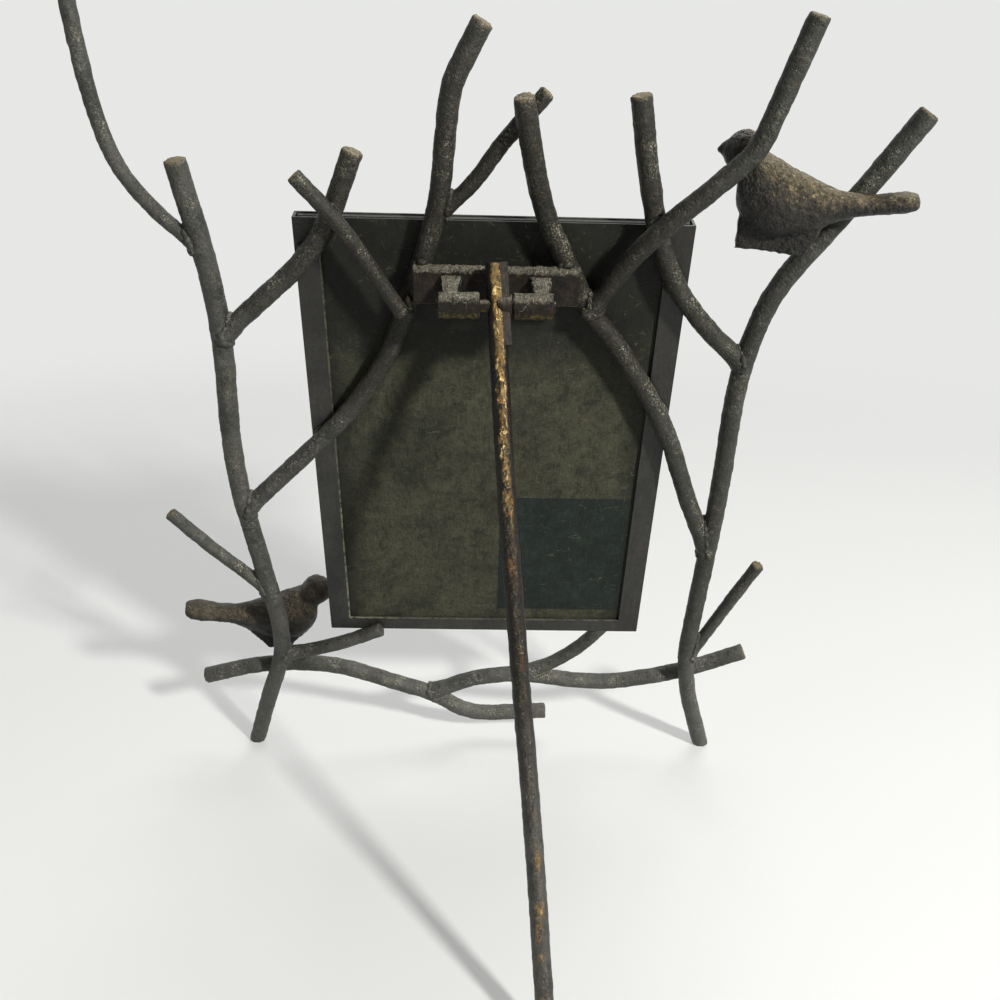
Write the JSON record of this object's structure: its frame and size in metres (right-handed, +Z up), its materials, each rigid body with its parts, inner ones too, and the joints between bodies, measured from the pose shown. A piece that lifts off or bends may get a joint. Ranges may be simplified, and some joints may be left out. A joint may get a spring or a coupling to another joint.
{
  "type": "photo tree stand",
  "caption": "Welded rod tree that leans back on a hinged easel leg and holds a sheet-metal picture frame, with cast birds perched on its trunks.",
  "frame": {"origin": "bottom centre of the bounding box, on the table that the two trunk feet and the leg foot stand on", "axes": "+X to the right of someone looking at the picture, +Y back towards the easel leg, +Z up; the picture faces -Y and leans back"},
  "size_m": [0.2629, 0.1776, 0.3134],
  "materials": {
    "dark_iron": "rough dark brown-grey patina with dust and rust flecks",
    "frame_steel": "dark satin patina with worn brassy edges",
    "bracket_iron": "rough dark patina with grey lint",
    "bird_bronze": "finely rough brown bronze casting",
    "leg_iron": "rough dark patina worn to gold and rust on its ridge",
    "tab_steel": "flat dull grey",
    "clear_glass": "clear",
    "blank_card": "plain matt paper",
    "panel_patina": "scratched olive-green patina",
    "label_patch": "plain dark blue-green patch"
  },
  "bodies": {
    "stand": {"left_trunk": "dark_iron", "right_trunk": "dark_iron", "left_upper_branch": "dark_iron", "left_mid_branch": "dark_iron", "left_inner_rod": "dark_iron", "right_inner_rod": "dark_iron", "right_upright_rod": "dark_iron", "diagonal_branch": "dark_iron", "left_outer_twig": "dark_iron", "left_diagonal_twig": "dark_iron", "centre_left_twig": "dark_iron", "right_twig": "dark_iron", "bottom_branch_left": "dark_iron", "bottom_branch_right": "dark_iron", "support_twig_left": "dark_iron", "support_twig_right": "dark_iron", "frame_bottom_rail": "frame_steel", "frame_top_rail": "frame_steel", "frame_left_rail": "frame_steel", "frame_right_rail": "frame_steel", "hinge_plate": "bracket_iron", "left_knuckle": "bracket_iron", "right_knuckle": "bracket_iron", "left_knuckle_stem": "bracket_iron", "right_knuckle_stem": "bracket_iron", "left_bird": "bird_bronze", "right_bird": "bird_bronze", "weld_tacks": "dark_iron"},
    "leg": {"leg_rod": "leg_iron", "leg_tab": "tab_steel", "leg_hub": "leg_iron", "hinge_pin": "leg_iron"},
    "glass": {"glass_pane": "clear_glass"},
    "card": {"photo_card": "blank_card"},
    "panel": {"back_panel": "panel_patina", "label_place": "label_patch"}
  },
  "joints": [
    {"name": "leg_hinge", "type": "hinge", "parent": "stand", "child": "leg", "pos_m": [0.00224, -0.00473, 0.21786], "axis": [1, 0, 0], "range_deg": [-37.5, 0]},
    {"name": "glass_slide", "type": "slide", "parent": "stand", "child": "glass", "axis": [0, 0.2588, 0.9659], "range_m": [0, 0.185]},
    {"name": "card_slide", "type": "slide", "parent": "stand", "child": "card", "axis": [0, 0.2588, 0.9659], "range_m": [0, 0.185]},
    {"name": "panel_slide", "type": "slide", "parent": "stand", "child": "panel", "axis": [0, 0.2588, 0.9659], "range_m": [0, 0.185]}
  ]
}
